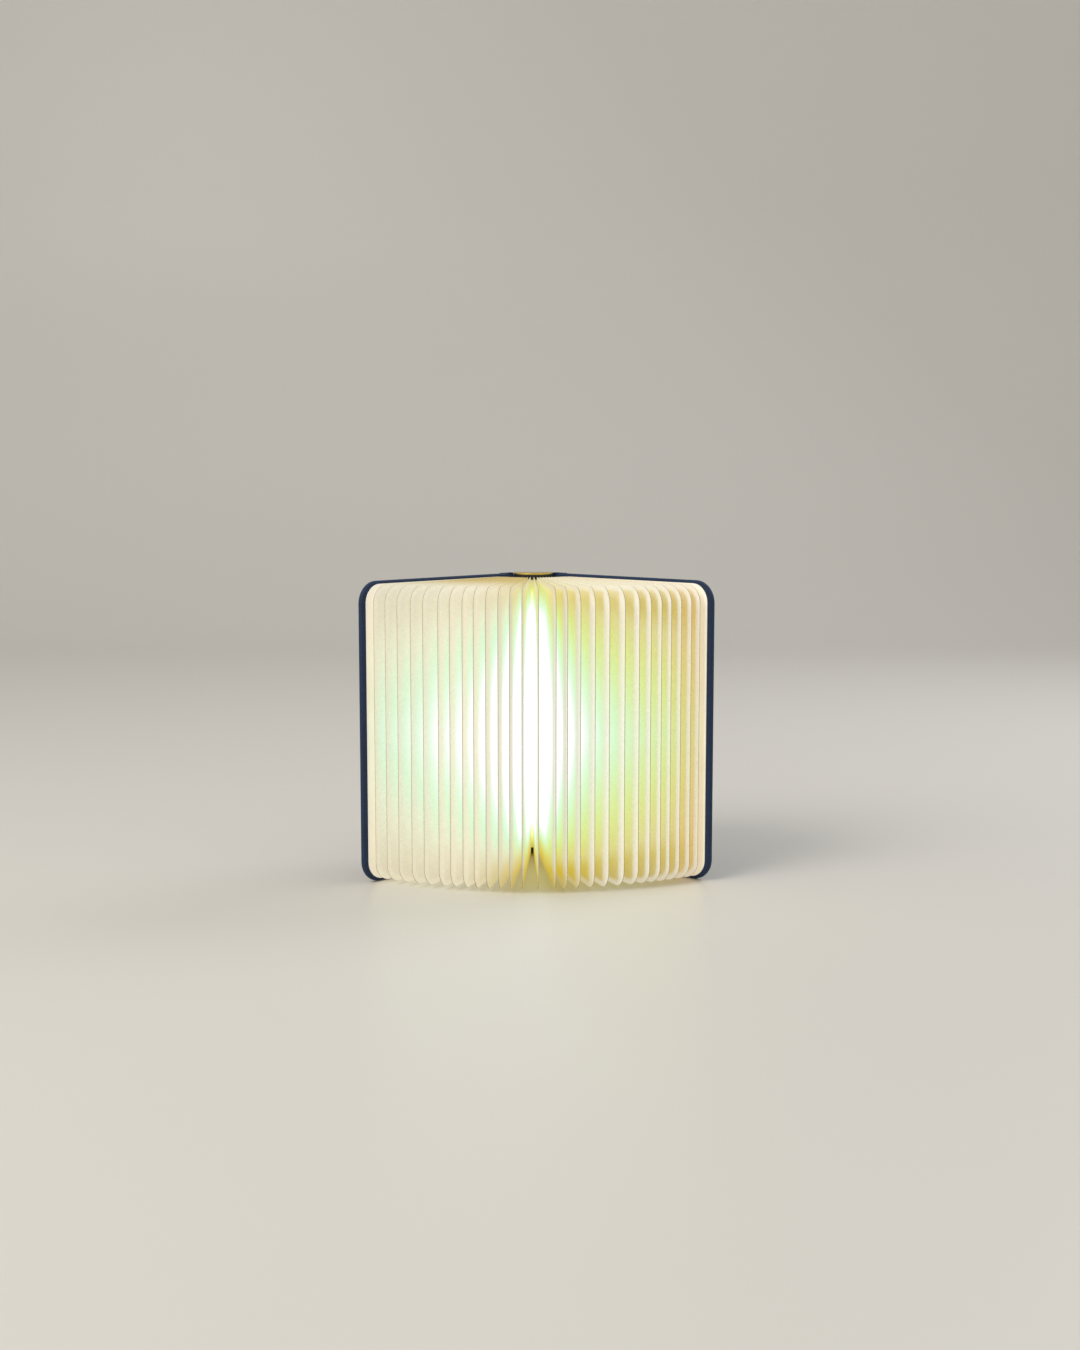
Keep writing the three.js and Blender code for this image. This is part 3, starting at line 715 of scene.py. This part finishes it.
def cover_cloth(side):
    name = "left" if side < 0 else "right"
    rings = cloth_rings()
    vertices, places = [], []
    for inset, off, flat in rings:
        vertices += [place_on_cover(side, reach, off, height) for reach, height in cover_ring(inset)]
        places += cover_ring(flat)
    faces = stack_rings(len(cover_ring(0)), len(rings))
    if side < 0:
        faces = [tuple(reversed(face)) for face in faces]
    piece = linen_piece(f"{name}_cover_linen", vertices, faces, places)
    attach(piece, f"{name}_cover")
    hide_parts(f"{name}_cover_cloth")
    return piece


def volume(piece):
    """The volume inside a closed piece, in cubic millimetres, negative if its faces point inwards."""
    work = bmesh.new()
    work.from_mesh(piece.data)
    inside = work.calc_volume(signed=True)
    work.free()
    return inside / MM ** 3


cover_cloths = [cover_cloth(side) for side in (-1, 1)]
print("cover cloths fill", [round(volume(cloth)) for cloth in cover_cloths], "cubic millimetres")

# %% [markdown]
# ## The cloth over the spine and its hinges
# One piece of cloth runs from cover to cover round the back of the spine, and dips into a groove beside it
# on each side. That groove is the hinge. The cloth on the spine moves with the spine, so each groove is a
# strip of its own, which bends between the spine and its cover and lies a hair over both, so that no slit
# opens. Each is a plan swept up the spine's height.

# %% Spine cloth
SPINE_HALF = 8.0 * MM
SPINE_BACK = 1.9 * MM
SPINE_CORNER = 0.7 * MM
SPINE_FRONT = -0.45 * MM
BEAD = 0.9 * MM
BEAD_NECK = 0.2 * MM
BEAD_MOUTH = 12
BEAD_POINTS = 18
CORNER_POINTS = 7
SPINE_ROWS = 12
END_ROUND = 0.12 * MM


def sweep(name, outline, start=0.0, taller=None):
    """A closed upright body on this plan, as high as the spine, with the cloth map running round it and up
    it. taller(x) is how much further it reaches at both ends there."""
    low, high = spine_low, spine_high
    inner_heights = [low + (high - low) * i / SPINE_ROWS for i in range(1, SPINE_ROWS)]
    heights = [low, low + END_ROUND] + inner_heights + [high - END_ROUND, high]
    along, length = [start], start
    for (x0, y0), (x1, y1) in zip(outline, outline[1:]):
        length += math.hypot(x1 - x0, y1 - y0)
        along.append(length)
    vertices, places = [], []
    for z in heights:
        up = (2 * z - low - high) / (high - low)
        lifts = [up * taller(x) if taller else 0.0 for x, y in outline]
        vertices += [(x, y, z + lift) for (x, y), lift in zip(outline, lifts)]
        places += [(u, z + lift) for u, lift in zip(along, lifts)]
    return linen_piece(name, vertices, stack_rings(len(outline), len(heights)), places)


def spine_cloth():
    half, back, corner = SPINE_HALF, SPINE_BACK, SPINE_CORNER
    inner_half, front, mouth = SPINE_HALF - CLOTH, SPINE_FRONT, BEAD_MOUTH
    outline = (arc_points(half - corner, back - corner, corner, 0, 90, CORNER_POINTS)
               + arc_points(corner - half, back - corner, corner, 90, 180, CORNER_POINTS)
               + [(-half, BEAD_NECK)] + arc_points(-HINGE_X, 0, BEAD, mouth, 360 - mouth, BEAD_POINTS)
               + [(-half, -BEAD_NECK), (-half, front), (-inner_half, front), (-inner_half, back - CLOTH)]
               + [(inner_half, back - CLOTH), (inner_half, front), (half, front), (half, -BEAD_NECK)]
               + arc_points(HINGE_X, 0, BEAD, 180 + mouth, 540 - mouth, BEAD_POINTS)
               + [(half, BEAD_NECK)])
    piece = sweep("spine_linen", outline)
    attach(piece, "spine")
    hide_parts("spine_cloth")
    return piece


spine_wrap = spine_cloth()
print("spine linen has", len(spine_wrap.data.polygons), "faces")

# %% [markdown]
# A strip follows a smooth line through a few points, chosen in millimetres on the groove's plan and then on
# the cover's outer face. Past the spine's side it reaches further at both ends, almost to the ends of the
# covers.

# %% Hinge strips
GROOVE = ((6.4, 1.94), (7.3, 1.94), (7.98, 1.72), (8.35, 1.1), (8.95, 0.98), (9.9, 1.24), (10.75, 1.0))
STRIP = 0.16 * MM
STRIP_OVER = COVER_HALF + 0.04 * MM
OVER_COVER = ((1.7 * MM, COVER_HALF - 0.05 * MM), (2.6 * MM, STRIP_OVER),
              (4.2 * MM, STRIP_OVER), (5.6 * MM, STRIP_OVER))
STRIP_START = 3.1 * MM
STRIP_END_GAP = 0.25 * MM
TALL_FROM = 8.32 * MM
TALL_IN = 0.25 * MM
PATH_STEPS = 5


def between(a, b, c, d, t):
    """The value this share of the way from b to c, on the smooth curve through all four."""
    second, third = 2 * a - 5 * b + 4 * c - d, 3 * b - a - 3 * c + d
    return 0.5 * (2 * b + (c - a) * t + second * t ** 2 + third * t ** 3)


def smooth_path(points, steps):
    """A smooth line through the points."""
    ends = [points[0]] + list(points) + [points[-1]]
    line = []
    for four in zip(ends, ends[1:], ends[2:], ends[3:]):
        line += [tuple(between(*values, i / steps) for values in zip(*four)) for i in range(steps)]
    return line + [points[-1]]


def band(path, thickness):
    """The plan of a strip of cloth of this thickness, whose outer face follows the path."""
    inner = []
    for i, (x, y) in enumerate(path):
        x0, y0 = path[max(i - 1, 0)]
        x1, y1 = path[min(i + 1, len(path) - 1)]
        long = math.hypot(x1 - x0, y1 - y0)
        inner.append((x + thickness * (y1 - y0) / long, y - thickness * (x1 - x0) / long))
    return list(path) + inner[::-1]


def strip_taller(x):
    """How much taller than the spine's cloth a strip is at this place, eased in past the spine's side."""
    share = min(max((abs(x) - TALL_FROM) / TALL_IN, 0.0), 1.0)
    return (spine_low - STRIP_END_GAP) * share * share * (3 - 2 * share)


def hinge_strip(side):
    """The cloth in one groove, from the back of the spine, over the bead and onto the cover's outer face."""
    name = "left" if side < 0 else "right"
    on_cover = [place_on_cover(1, reach, off, 0)[:2] for reach, off in OVER_COVER]
    path = smooth_path([(x * MM, y * MM) for x, y in GROOVE] + on_cover, PATH_STEPS)
    outline = [(side * x, y) for x, y in band(path, STRIP)]
    if side > 0:
        outline = outline[::-1]
    piece = sweep(f"{name}_hinge_linen", outline, start=STRIP_START, taller=strip_taller)
    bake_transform(piece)
    return piece


hinges = [hinge_strip(side) for side in (-1, 1)]
print("hinge strips", [len(h.data.polygons) for h in hinges])

# %% [markdown]
# ## Hard parts with softened edges
# No real edge is perfectly sharp, and a thin line of light on an edge is what makes a part look made. The
# CAD nodes stay as they are, so a copy of each brass end plate is merged, its flat faces joined, and its
# sharp edges bevelled.

# %% Softened copies of CAD parts
FLAT_LIMIT = math.radians(1)
SHARP_LIMIT = math.radians(40)


def softened(node, name, width, materials, shade_parting):
    """A copy of the node with its sharp edges bevelled. On the side of the given height that faces the
    lamp's mid-height, its faces get the second material: on the brass plates, black painted shade."""
    work = bmesh.new()
    work.from_mesh(nodes[node].data)
    bmesh.ops.remove_doubles(work, verts=work.verts, dist=1e-6)
    bmesh.ops.dissolve_limit(work, angle_limit=FLAT_LIMIT, verts=work.verts, edges=work.edges)
    sharp = [e for e in work.edges if len(e.link_faces) == 2 and e.calc_face_angle(0) > SHARP_LIMIT]
    bmesh.ops.bevel(work, geom=sharp, offset=width, segments=3, profile=0.5, affect="EDGES",
                    clamp_overlap=True)
    every = work.verts[:] + work.edges[:] + work.faces[:]
    bmesh.ops.bisect_plane(work, geom=every, plane_co=(0, 0, shade_parting), plane_no=(0, 0, 1))
    # Faces on the lamp's side of the height get the second material, black painted shade on the plates.
    for face in work.faces:
        below = face.calc_center_median().z < shade_parting
        face.material_index = int(below == (shade_parting > MIDDLE))
    mesh = bpy.data.meshes.new(name)
    work.to_mesh(mesh)
    work.free()
    sharpen(mesh)
    for material in materials:
        mesh.materials.append(material)
    piece = put_in_scene(name, mesh)
    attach(piece, "spine")
    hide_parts(node)
    return piece


print("edges over", round(math.degrees(SHARP_LIMIT)), "degrees get a bevel")

# %% [markdown]
# Between each brass plate and the diffuser sits a half ring of black silicone, a guessed sealing part. Its
# black is painted shade: it draws the thin dark line of shade under the brass, and hides the diffuser's glow
# there. It has round edges and is made from its section.

# %% Shade rings under the brass plates
SHADE_RING_INNER = 7.62 * MM
SHADE_RING_OUTER = 8.15 * MM
SHADE_RING_ROUND = 0.15 * MM
SHADE_RING_STEPS = 40
SHADE_RING_TALL = 1.15 * MM
SHADE_RING_GAP = 0.02 * MM
BOTTOM_SHADE_RING = (1.62 * MM, 3.4 * MM)
GRIT_PER_METRE = 4000.0
# Painted shade: this black draws the dark line under the brass, and the black inner part of each brass plate.
painted_shade_black = speckled("black rubber, painted shade", GRIT_PER_METRE, "#0c0c0e", "#19191d",
                    bump=0.2, depth=0.03 * MM, roughness=0.6)


def make_shade_ring(name, low, high):
    section = [(SHADE_RING_INNER, high), (SHADE_RING_OUTER - SHADE_RING_ROUND, high), (SHADE_RING_OUTER, high - SHADE_RING_ROUND),
               (SHADE_RING_OUTER, low + SHADE_RING_ROUND), (SHADE_RING_OUTER - SHADE_RING_ROUND, low), (SHADE_RING_INNER, low)]
    vertices = []
    for i in range(SHADE_RING_STEPS + 1):
        turn = math.pi + math.pi * i / SHADE_RING_STEPS
        vertices += [(r * math.cos(turn), ARCH_CENTRE + r * math.sin(turn), z) for r, z in section]
    ring_piece = faced_piece(name, vertices, stack_rings(len(section), SHADE_RING_STEPS + 1), painted_shade_black)
    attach(ring_piece, "spine")
    return ring_piece


plate_under = spine_high + 0.1 * MM
# The rings' black is painted shade under the plates.
shade_ring_pieces = [make_shade_ring("top_shade_ring", plate_under - SHADE_RING_TALL, plate_under - SHADE_RING_GAP),
         make_shade_ring("bottom_shade_ring", *BOTTOM_SHADE_RING)]
print("shade_ring_pieces", [s.name for s in shade_ring_pieces])

# %% [markdown]
# The end plates are brass, brushed along the plate and lacquered. Brushing leaves fine scratches in one
# direction, which spread the reflection across them. Stretched noise makes them, and the lacquer is a thin
# clear coat. The photograph shows brass only along the top of the upper plate's edge, over a dark band of
# shade, so the inner part of each plate is given the same black as painted shade.

# %% Brass plates
# How deep the brass reaches from each plate's outer face. The rest of the plate is painted shade in black.
TOP_BRASS = 0.6 * MM
BOTTOM_BRASS = 0.75 * MM
BRUSHING = (60.0, 2500.0, 2500.0)
STAINS_PER_METRE = 260.0


def brushed_brass():
    material, tree, shader = new_material("brushed and lacquered brass")
    known = add_steps(tree, [
        ("brushed", "STRETCH", "place", BRUSHING),
        ("lines", "NOISE", "brushed", 1.0, 3.0),
        ("stains", "NOISE", "place", STAINS_PER_METRE, 3.0),
        ("tone", "RAMP", "stains", ((0.3, "#c4a545"), (0.7, "#d3bb5b"))),
        ("roughness", "LINEAR", "lines", 0.3, 0.7, 0.24, 0.42),
        ("relief", "BUMP", "lines", 0.2, 0.02 * MM)], known_places(tree))
    set_inputs(tree, shader, {
        "Base Color": known["tone"], "Roughness": known["roughness"], "Normal": known["relief"],
        "Metallic": 1.0, "Anisotropic": 0.4, "Coat Weight": 0.3})
    return material


brass = brushed_brass()
# The black under each plate's brass is painted shade.
top_plate = softened("top_end_plate", "top_brass_plate", width=0.2 * MM, materials=[brass, painted_shade_black],
                     shade_parting=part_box("top_end_plate")[1][2] - TOP_BRASS)
bottom_plate = softened("bottom_end_plate", "bottom_brass_plate", width=0.15 * MM,
                        materials=[brass, painted_shade_black], shade_parting=BOTTOM_BRASS)
print("brass plates", len(top_plate.data.polygons), len(bottom_plate.data.polygons))

# %% [markdown]
# ## Finishes of the parts that keep their CAD shape
# The end leaves, boards, magnets and everything inside the spine keep their CAD shapes, which are right
# already, and get real finishes. Most are one kind of thing: a colour that drifts a little, a surface
# grain, and a roughness that follows it. So one function makes them from two colours, a grain size in
# millimetres and a roughness range.

# %% Grained finishes
DRIFTS_PER_METRE = 60.0


def grained(name, dark, light, grain, rough, bump=0.2, metallic=0.0, coat=0.0):
    material, tree, shader = new_material(name)
    known = add_steps(tree, [
        ("grit", "NOISE", "place", 1.0 / (grain * MM), 4.0),
        ("drift", "NOISE", "place", DRIFTS_PER_METRE, 2.0),
        ("both", "ADD", "grit", "drift"),
        ("mean", "MULTIPLY", "both", 0.5),
        ("tone", "RAMP", "mean", ((0.35, dark), (0.65, light))),
        ("roughness", "LINEAR", "grit", 0.3, 0.7, *rough),
        ("relief", "BUMP", "grit", bump, grain * MM * 0.15)], known_places(tree))
    set_inputs(tree, shader, {
        "Base Color": known["tone"], "Roughness": known["roughness"], "Normal": known["relief"],
        "Metallic": metallic, "Coat Weight": coat})
    return material, tree, shader, known


def dress(material, *names):
    for name in names:
        for slot in nodes[name].material_slots:
            slot.link = "OBJECT"
            slot.material = material


FINISHES = [
    ("greyboard, pressed from waste paper", "#7d766a", "#9a9385", 0.5, (0.85, 0.95), {},
     ("left_cover_board", "right_cover_board")),
    ("nickel plate over a sintered magnet", "#aeb2b6", "#c6c9cb", 0.3, (0.2, 0.32),
     {"bump": 0.05, "metallic": 1.0}, ("left_lower_magnet", "left_upper_magnet",
                                       "right_lower_magnet", "right_upper_magnet", "switch_magnet")),
    ("moulded white ABS, fine spark texture", "#e2e0d8", "#eeece5", 0.12, (0.45, 0.6), {},
     ("spine_housing",)),
    ("aluminium laminate pouch of a lithium cell", "#a8abb0", "#c4c7ca", 1.2, (0.3, 0.45),
     {"bump": 0.3, "metallic": 0.8}, ("battery_cell",)),
    ("green solder mask over glass epoxy", "#174a2f", "#226140", 0.4, (0.35, 0.5),
     {"bump": 0.15, "coat": 0.3}, ("charge_board",)),
    ("black glass-filled nylon", "#121212", "#1e1e1e", 0.15, (0.45, 0.6), {},
     ("board_connector", "opening_sensor")),
    ("zinc-plated steel screw, turned", "#b6b9bb", "#d0d2d3", 0.1, (0.25, 0.4),
     {"bump": 0.15, "metallic": 1.0}, ("left_plate_screw", "right_plate_screw")),
    ("red PVC wire insulation", "#9c1f18", "#bd2d24", 0.3, (0.4, 0.55), {}, ("battery_lead_red",)),
    ("black PVC wire insulation", "#141414", "#222222", 0.3, (0.4, 0.55), {}, ("battery_lead_black",)),
    ("clear polycarbonate light pipe", "#d6e2e6", "#eaf2f4", 0.5, (0.08, 0.15),
     {"bump": 0.02, "coat": 0.5}, ("charge_light_pipe",)),
]
for name, dark, light, grain, rough, extras, wearers in FINISHES:
    dress(grained(name, dark, light, grain, rough, **extras)[0], *wearers)
print("dressed", sum(len(row[-1]) for row in FINISHES), "nodes in", len(FINISHES), "finishes")

# %% [markdown]
# The end leaves are smooth white paper, with a faint warm emission that paints the light from the lit pages
# beside them. The diffuser is opal acrylic and glows from the LEDs behind it, less and yellower past the ends
# of their row.

# %% End leaves and diffuser
LED_ROW_HALF = 38 * MM
GLOW_END = 60 * MM

material, tree, shader, known = grained("white end paper, painted glow of the pages", "#ece7da", "#f8f5ec", 0.25, (0.7, 0.85), 0.15)
# Painted light: a faint warm emission on the end leaves, for the pages' light that falls on them.
set_inputs(tree, shader, {"Emission Color": to_linear("#fbf0dc"), "Emission Strength": 0.21})
dress(material, "left_end_leaf", "right_end_leaf")

material, tree, shader, known = grained("opal acrylic diffuser, lit from behind", "#f2ecd8", "#fffaf0", 0.4,
                                        (0.4, 0.5))
add_steps(tree, [
    ("rise", "SUBTRACT", "Z", MIDDLE),
    ("off middle", "ABSOLUTE", "rise"),
    ("lit share", "LINEAR", "off middle", LED_ROW_HALF, GLOW_END, 1.0, 0.0),
    ("hue", "RAMP", "lit share", ((0.0, "#8f7a1c"), (0.3, "#d6d64a"), (0.7, "#e9fbd0"), (1.0, "#ffffff"))),
    ("power", "LINEAR", "lit share", 0.0, 1.0, 0.15, 1.6)], known)
set_inputs(tree, shader, {"Emission Color": known["hue"], "Emission Strength": known["power"]})
dress(material, "diffuser")
print("the diffuser is brightest within", round(LED_ROW_HALF / MM), "mm of mid-height")

# %% [markdown]
# The LED board and the USB-C socket each have two substances in one node, so their materials tell them
# apart by place: the LEDs stand in front of their white board, and the socket's black nylon tongue stands
# in the middle of its steel mouth.

# %% LED board and socket
LED_HEIGHT = 0.65 * MM
LED_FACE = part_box("led_board")[0][1] + LED_HEIGHT
MASK_GRIT_PER_METRE = 2500.0
TONGUE_HALF_DEPTH = 0.4 * MM
TONGUE_HALF_WIDTH = 3.35 * MM


def led_board_finish():
    material, tree, shader = new_material("white solder mask with phosphor LEDs")
    known = add_steps(tree, [
        ("grit", "NOISE", "place", MASK_GRIT_PER_METRE, 3.0),
        ("on board", "GREATER_THAN", "Y", LED_FACE),
        ("colour", "MIX", "on board", "#f6e9a0", "#eeeeea"),
        ("speck", "LINEAR", "grit", 0.0, 1.0, 0.85, 1.1),
        ("shade", "TINT", 1.0, "colour", "speck"),
        ("roughness", "LINEAR", "on board", 0.0, 1.0, 0.35, 0.5),
        ("glow", "LINEAR", "on board", 0.0, 1.0, 3.0, 0.0)], known_places(tree))
    set_inputs(tree, shader, {
        "Base Color": known["shade"], "Roughness": known["roughness"],
        "Emission Color": known["colour"], "Emission Strength": known["glow"]})
    return material


def socket_finish():
    material, tree, shader, known = grained("tin-plated steel shell", "#b4b8bb", "#cfd2d4", 0.2,
                                            (0.25, 0.35), bump=0.1, metallic=1.0)
    mouth_x, mouth_y = [(a + b) / 2 for a, b in zip(*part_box("usb_socket"))][:2]
    add_steps(tree, [
        ("off x", "SUBTRACT", "X", mouth_x),
        ("off y", "SUBTRACT", "Y", mouth_y),
        ("across", "ABSOLUTE", "off x"),
        ("deep", "ABSOLUTE", "off y"),
        ("thin", "LESS_THAN", "deep", TONGUE_HALF_DEPTH),
        ("narrow", "LESS_THAN", "across", TONGUE_HALF_WIDTH),
        ("tongue", "MULTIPLY", "thin", "narrow"),
        ("colour", "MIX", "tongue", "tone", "#141414"),
        ("metal", "LINEAR", "tongue", 0.0, 1.0, 1.0, 0.0)], known)
    set_inputs(tree, shader, {"Base Color": known["colour"], "Metallic": known["metal"]})
    return material


dress(led_board_finish(), "led_board")
dress(socket_finish(), "usb_socket")
print("LED faces stand in front of y =", round(LED_FACE / MM, 2), "mm")

# %% [markdown]
# ## Floor and light
# The part stands on a plain pale floor that curves up into a backdrop, so no line shows where the two meet.
# It is made from its profile, with the bend as an arc.

# %% Floor
FLOOR_HALF = 4.0
FLOOR_FRONT = -3.0
FLOOR_BACK = 0.9
FLOOR_CURVE = 0.5
WALL_TOP = 2.5
FLOOR_DROP = 0.05 * MM


def studio():
    material, tree, shader = new_material("plain pale studio floor")
    set_inputs(tree, shader, {"Base Color": to_linear("#dcd9d2"), "Roughness": 0.42})
    curve = arc_points(FLOOR_BACK, FLOOR_CURVE, FLOOR_CURVE, -84, 0, 15)
    profile = [(FLOOR_FRONT, 0.0), (FLOOR_BACK, 0.0), *curve, (FLOOR_BACK + FLOOR_CURVE, WALL_TOP)]
    vertices = [(x, y, z - FLOOR_DROP) for x in (-FLOOR_HALF, FLOOR_HALF) for y, z in profile]
    count = len(profile)
    faces = [(i, i + count, i + count + 1, i + 1) for i in range(count - 1)]
    floor = faced_piece("studio_floor", vertices, faces, material)
    return floor


floor = studio()
print("floor with", len(floor.data.polygons), "faces")

# %% [markdown]
# The world lights evenly from all round, and the level is set so that a colour renders about as it is
# written. The lamp's own glow adds to that. One wide soft lamp from the upper left gives the edges their
# form, and a second one behind, on the right, puts a thin light on the rims. Past the floor the camera sees
# a warm grey, and glossy surfaces mirror a lighter one.


# %% Lamps and world
def soft_lamp(name, place, aim, size, power, swatch):
    data = bpy.data.lights.new(name, "AREA")
    data.shape = "DISK"
    data.size = size
    data.energy = power
    data.color = to_linear(swatch)[:3]
    lamp = put_in_scene(name, data)
    lamp.location = place
    lamp.rotation_euler = (Vector(aim) - Vector(place)).to_track_quat("-Z", "Y").to_euler()
    return lamp


def studio_world():
    world = bpy.data.worlds.new("studio_world")
    world.use_nodes = True
    sky = world.node_tree
    sky.nodes.clear()
    rays = add_node(sky, "ShaderNodeLightPath").outputs
    lit, mirrored, seen = (
        add_node(sky, "ShaderNodeBackground", {"Color": to_linear(swatch), "Strength": strength}).outputs[0]
        for swatch, strength in (("#ffffff", 0.5), ("#e8e6e1", 1.0), ("#b9b6ae", 1.0)))
    shiny = add_node(sky, "ShaderNodeMixShader", {0: rays["Is Glossy Ray"], 1: lit, 2: mirrored}).outputs[0]
    chosen = add_node(sky, "ShaderNodeMixShader", {0: rays["Is Camera Ray"], 1: shiny, 2: seen})
    add_node(sky, "ShaderNodeOutputWorld", {"Surface": chosen.outputs[0]})
    return world


soft_lamp("key_softbox", place=(-0.75, -0.7, 0.95), aim=(0, -0.03, 0.05), size=0.8, power=9.0,
          swatch="#fffaf2")
soft_lamp("rim_softbox", place=(0.7, 0.35, 0.7), aim=(0, -0.03, 0.08), size=0.5, power=3.0,
          swatch="#f2f6ff")
bpy.context.scene.world = studio_world()
bpy.context.scene.view_settings.view_transform = "Standard"
